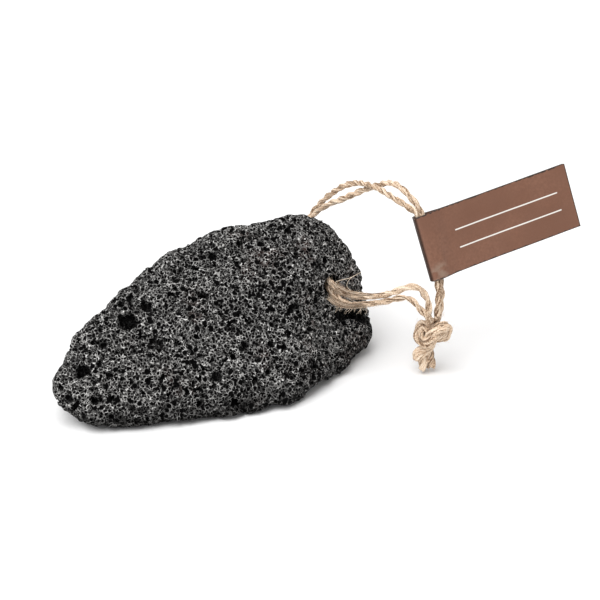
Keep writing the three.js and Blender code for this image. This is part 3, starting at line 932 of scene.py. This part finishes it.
def lava_material(lava):
    material, tree, shader = fresh_material("Frothy lava")
    place = wired(tree, "TexCoord").outputs["Object"]
    warp = wired(tree, "TexNoise", {"Vector": place, "Scale": 1000.0, "Detail": 2.0}).outputs["Color"]
    bend = {0: warp, 1: (0.0007,) * 3, 2: place}
    bent = wired(tree, "VectorMath", bend, operation="MULTIPLY_ADD").outputs[0]
    from_wall, kind = froth_cells(tree, bent, FROTH_CELLS, "DISTANCE_TO_EDGE")
    wall = ranged(tree, from_wall, 0.14, 0.03)
    open_cell = ranged(tree, kind, 0.95, 0.5, 0.3, 1)
    pinhole = sums(tree, "MULTIPLY", ranged(tree, from_wall, 0.08, 0.18), open_cell)
    from_middle, size = froth_cells(tree, bent, PORE_CELLS, "F1")
    from_lip = sums(tree, "SUBTRACT", from_middle, ranged(tree, size, 0, 1, 0.1, 0.47))
    pore = ranged(tree, from_lip, 0.01, -0.05)
    lip = ranged(tree, sums(tree, "ABSOLUTE", sums(tree, "SUBTRACT", from_lip, 0.03), 0.0), 0.05, 0.01)
    speckle = patches(tree, 800, 4, 0.34, 0.66)
    # Painted highlight on the thin walls, the pores' lips and the bubbles' edges, speckled.
    edge = sums(tree, "MAXIMUM", noted(tree, "edge"), sums(tree, "MAXIMUM", wall, lip))
    lit = sums(tree, "MULTIPLY", edge, ranged(tree, speckle, 0, 1, 0.15, 1))
    # Painted glints: sparse spots on the edges coloured near white.
    glint = sums(tree, "MULTIPLY", edge, patches(tree, 1300, 3, 0.56, 0.66))
    hole = sums(tree, "MAXIMUM", pinhole, pore)
    dark, light = ([share * c for c in lava.body] for share in (0.7, 1.3))
    colour = mixed(tree, patches(tree, 420, 4, 0.3, 0.7), dark, light)
    colour = mixed(tree, patches(tree, 70, 2, 0.56, 0.7), colour, lava.rust)
    # Painted highlight: the thin walls and the lips of the pores are coloured pale.
    colour = mixed(tree, lit, colour, lava.rim_highlight)
    colour = mixed(tree, glint, colour, lava.glint)
    # Painted shade: the fine pores that the mesh lacks are coloured near black.
    colour = mixed(tree, hole, colour, lava.hollow_shade)
    # Painted shade: the stone is darkened towards its foot, below ten millimetres.
    height = wired(tree, "SeparateXYZ", {"Vector": place}).outputs["Z"]
    colour = mixed(tree, ranged(tree, height, 0.010, 0.001, 0, 0.8), colour, lava.hollow_shade)
    # Painted shade: the deeper a point lies under the skin drawn over the hollows, the darker it is coloured.
    colour = mixed(tree, ranged(tree, noted(tree, "depth"), 0.3, 1.9, 0, 0.96), colour, lava.hollow_shade)
    tree.links.new(colour, shader.inputs["Base Color"])
    tree.links.new(ranged(tree, lit, 0, 1, 0.82, 0.5), shader.inputs["Roughness"])
    shader.inputs["Specular IOR Level"].default_value = 0.05
    relief = sums(tree, "SUBTRACT", wall, hole)
    bump = wired(tree, "Bump", {"Strength": 0.9, "Distance": 0.0002, "Height": relief})
    tree.links.new(bump.outputs["Normal"], shader.inputs["Normal"])
    return material


def jute_material(jute):
    material = bpy.data.materials.get("Jute fibre")
    if material:
        return material
    material, tree, shader = fresh_material("Jute fibre")
    tone = noted(tree, "tone")
    streaks = patches(tree, 2600, 4, 0.3, 0.7)
    tone = sums(tree, "ADD", tone, ranged(tree, streaks, 0, 1, -0.32, 0.32))
    colour = mixed(tree, ranged(tree, tone, 0.0, 0.5), jute.darkest_fibre_and_shade, jute.straw)
    colour = mixed(tree, ranged(tree, tone, 0.5, 1.0), colour, jute.pale)
    tree.links.new(colour, shader.inputs["Base Color"])
    tree.links.new(ranged(tree, streaks, 0, 1, 0.62, 0.85), shader.inputs["Roughness"])
    shader.inputs["Specular IOR Level"].default_value = 0.35
    bump = wired(tree, "Bump", {"Strength": 0.5, "Distance": 0.00006, "Height": streaks})
    tree.links.new(bump.outputs["Normal"], shader.inputs["Normal"])
    return material


def card_material(card):
    material, tree, shader = fresh_material("Brown card")
    along, across = noted(tree, "along"), noted(tree, "across")
    colour = mixed(tree, patches(tree, 55, 3, 0.32, 0.72), card.face, card.faded)
    colour = mixed(tree, patches(tree, 1300, 3, 0.2, 0.8), colour, card.face)
    from_side = sums(tree, "ABSOLUTE", across, 0.0)
    ragged = ranged(tree, patches(tree, 900, 4, 0.3, 0.7), 0, 1, -0.00018, 0.00018)
    ragged_from_side = sums(tree, "ADD", from_side, ragged)
    # Dark cut edges along the sides and the free end: partly the card's own darker cut and partly painted shade
    # on its thickness.
    cut = ranged(tree, ragged_from_side, card.width / 2 - 0.00042, card.width / 2 - 0.00012)
    end = ranged(tree, along, card.length - 0.00045, card.length - 0.00012)
    # Painted shade: a narrow dark band where the fold turns away from the light.
    fold = ranged(tree, along, 0.0007, 0.00025, 0, 0.85)
    dark_edges_and_fold_shade = sums(tree, "MAXIMUM", sums(tree, "MAXIMUM", cut, end), fold)
    low_corner = ranged(tree, across, -0.0042, -0.0068)
    creased = sums(tree, "MULTIPLY", low_corner, ranged(tree, along, 0.0065, 0.0040))
    creased = sums(tree, "MULTIPLY", creased, patches(tree, 420, 4, 0.40, 0.62))
    colour = mixed(tree, sums(tree, "MULTIPLY", creased, 0.7), colour, card.scuff)
    colour = mixed(tree, rules(tree, along, across), colour, card.rule)
    colour = mixed(tree, dark_edges_and_fold_shade, colour, card.edge)
    tree.links.new(colour, shader.inputs["Base Color"])
    sheen = patches(tree, 160, 4, 0.25, 0.75)
    tree.links.new(ranged(tree, sheen, 0, 1, 0.36, 0.52), shader.inputs["Roughness"])
    tooth = patches(tree, 2400, 3, 0.2, 0.8)
    bump = wired(tree, "Bump", {"Strength": 0.25, "Distance": 0.00005, "Height": tooth})
    tree.links.new(bump.outputs["Normal"], shader.inputs["Normal"])
    return material


def rules(tree, along, across):
    """Two plain lines to write on, as a mask."""
    between = sums(tree, "MULTIPLY", ranged(tree, along, 0.0118, 0.0121), ranged(tree, along, 0.0482, 0.0479))
    lines = None
    for height in (0.0024, -0.0032):
        off = sums(tree, "ABSOLUTE", sums(tree, "SUBTRACT", across, height), 0.0)
        line = ranged(tree, off, 0.00026, 0.00014)
        lines = sums(tree, "MAXIMUM", lines, line) if lines else line
    return sums(tree, "MULTIPLY", between, lines)


# Studio

class PUMICE_OT_studio(bpy.types.Operator):
    """Sets up the pale floor, the soft lights and the camera"""

    bl_idname = "pumice.studio"
    bl_label = "Studio"

    def execute(self, context):
        studio = context.scene.pumice_studio
        aim = Vector(studio.aim)
        back = towards(studio.around, studio.above)
        camera = bpy.data.objects.new("Camera", bpy.data.cameras.new("Camera"))
        camera.data.lens, camera.data.sensor_width = studio.lens, 36
        camera.data.clip_start, camera.data.clip_end = 0.01, 20
        camera.location = aim + back * studio.distance
        camera.rotation_euler = back.to_track_quat("Z", "Y").to_euler()
        context.collection.objects.link(camera)
        context.scene.camera = camera

        world = bpy.data.worlds.new("Daylight")
        world.use_nodes = True
        sky = world.node_tree.nodes["Background"]
        sky.inputs["Color"].default_value = (1, 1, 1, 1)
        sky.inputs["Strength"].default_value = studio.daylight
        context.scene.world = world
        context.scene.view_settings.view_transform = "Standard"

        light = bpy.data.lights.new("Softbox", "SUN")
        light.energy, light.angle = studio.softbox, studio.spread
        softbox = bpy.data.objects.new("Softbox", light)
        shines_from = towards(studio.light_around, studio.light_above)
        softbox.rotation_euler = shines_from.to_track_quat("Z", "Y").to_euler()
        context.collection.objects.link(softbox)

        corners = FLOOR_HALF * np.array([(-1, -1, 0), (1, -1, 0), (1, 1, 0), (-1, 1, 0)], float)
        floor = shown("floor", corners, np.array([(0, 1, 2, 3)]), floor_material(studio))
        return {"FINISHED"}


def towards(around, above):
    """The direction of something that far round from the front and that far above the floor."""
    return Vector((
        math.sin(around) * math.cos(above),
        -math.cos(around) * math.cos(above),
        math.sin(above),
    ))


def floor_material(studio):
    material, tree, shader = fresh_material("Pale floor")
    tone = patches(tree, 3, 2, 0.2, 0.8)
    colour = mixed(tree, tone, [0.985 * c for c in studio.floor], studio.floor)
    tree.links.new(colour, shader.inputs["Base Color"])
    shader.inputs["Roughness"].default_value = 0.8
    shader.inputs["Specular IOR Level"].default_value = 0.2
    return material


class VIEW3D_PT_pumice(bpy.types.Panel):
    bl_label = "Pumice stone"
    bl_space_type = "VIEW_3D"
    bl_region_type = "UI"
    bl_category = "Pumice"

    def draw(self, context):
        for operator in OPERATORS:
            self.layout.operator(operator.bl_idname)
        for name in SETTINGS:
            settings = getattr(context.scene, name)
            box = self.layout.box()
            for value in settings.bl_rna.properties:
                if value.identifier not in {"rna_type", "name"}:
                    box.prop(settings, value.identifier)


OPERATORS = (
    PUMICE_OT_studio,
    PUMICE_OT_twine,
    PUMICE_OT_knot,
    PUMICE_OT_loose_fibres,
    PUMICE_OT_tag,
    PUMICE_OT_stone,
)
SETTINGS = {
    "pumice_lava": LavaSettings,
    "pumice_jute": JuteSettings,
    "pumice_card": CardSettings,
    "pumice_studio": StudioSettings,
}


def register():
    for settings in SETTINGS.values():
        bpy.utils.register_class(settings)
    for name, settings in SETTINGS.items():
        setattr(bpy.types.Scene, name, PointerProperty(type=settings))
    for operator in OPERATORS:
        bpy.utils.register_class(operator)
    bpy.utils.register_class(VIEW3D_PT_pumice)


def unregister():
    bpy.utils.unregister_class(VIEW3D_PT_pumice)
    for operator in reversed(OPERATORS):
        bpy.utils.unregister_class(operator)
    for name in SETTINGS:
        delattr(bpy.types.Scene, name)
    for settings in SETTINGS.values():
        bpy.utils.unregister_class(settings)


def main():
    register()
    bpy.ops.pumice.studio()
    bpy.ops.pumice.twine()
    bpy.ops.pumice.knot()
    bpy.ops.pumice.loose_fibres()
    bpy.ops.pumice.tag()
    bpy.ops.pumice.stone()


if __name__ == "__main__":
    main()
